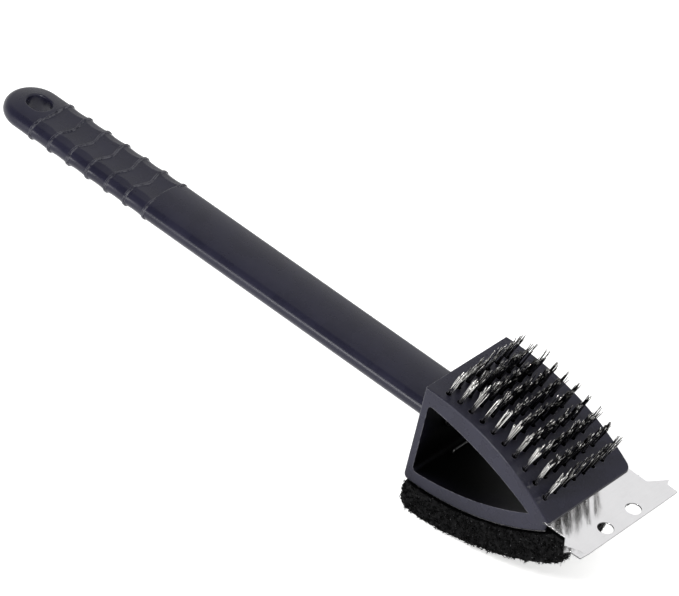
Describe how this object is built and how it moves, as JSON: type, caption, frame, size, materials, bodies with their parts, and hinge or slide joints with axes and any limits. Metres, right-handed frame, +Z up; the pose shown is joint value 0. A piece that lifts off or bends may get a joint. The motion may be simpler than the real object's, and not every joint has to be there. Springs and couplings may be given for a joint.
{
  "type": "grill cleaning brush",
  "caption": "Long-handled grill brush with a three-sided head: wire tufts above, a scouring pad below and a flat barbed steel scraper at the nose.",
  "frame": {"origin": "on the plane that the pad's lowest point touches, under the middle of the brush's length and width", "axes": "+X along the handle from its hang slot to the scraper edge, +Z up on the bristle side, +Y across the head"},
  "size_m": [0.4505, 0.0912, 0.1055],
  "materials": {
    "moulded_plastic": "satin dark charcoal moulded plastic with a fine grain",
    "bristle_steel": "bright drawn steel wire",
    "blade_steel": "bright rolled stainless sheet",
    "fastener_steel": "zinc-plated steel",
    "adhesive": "translucent hot-melt adhesive, dark where it lies on the black plastic",
    "pad_fibre": "coarse black abrasive fibre"
  },
  "bodies": {
    "root": {"handle": "moulded_plastic", "head_shell": "moulded_plastic", "tuft_row_01": "bristle_steel", "tuft_row_02": "bristle_steel", "tuft_row_03": "bristle_steel", "tuft_row_04": "bristle_steel", "tuft_row_05": "bristle_steel", "tuft_row_06": "bristle_steel", "tuft_row_07": "bristle_steel", "tuft_row_08": "bristle_steel", "tuft_row_09": "bristle_steel", "tuft_row_10": "bristle_steel", "tuft_anchors": "bristle_steel", "scraper_blade": "blade_steel", "blade_screws": "fastener_steel", "handle_screws": "fastener_steel", "handle_washers": "fastener_steel", "pad_adhesive": "adhesive", "scouring_pad": "pad_fibre", "pad_staples": "fastener_steel"}
  },
  "joints": []
}
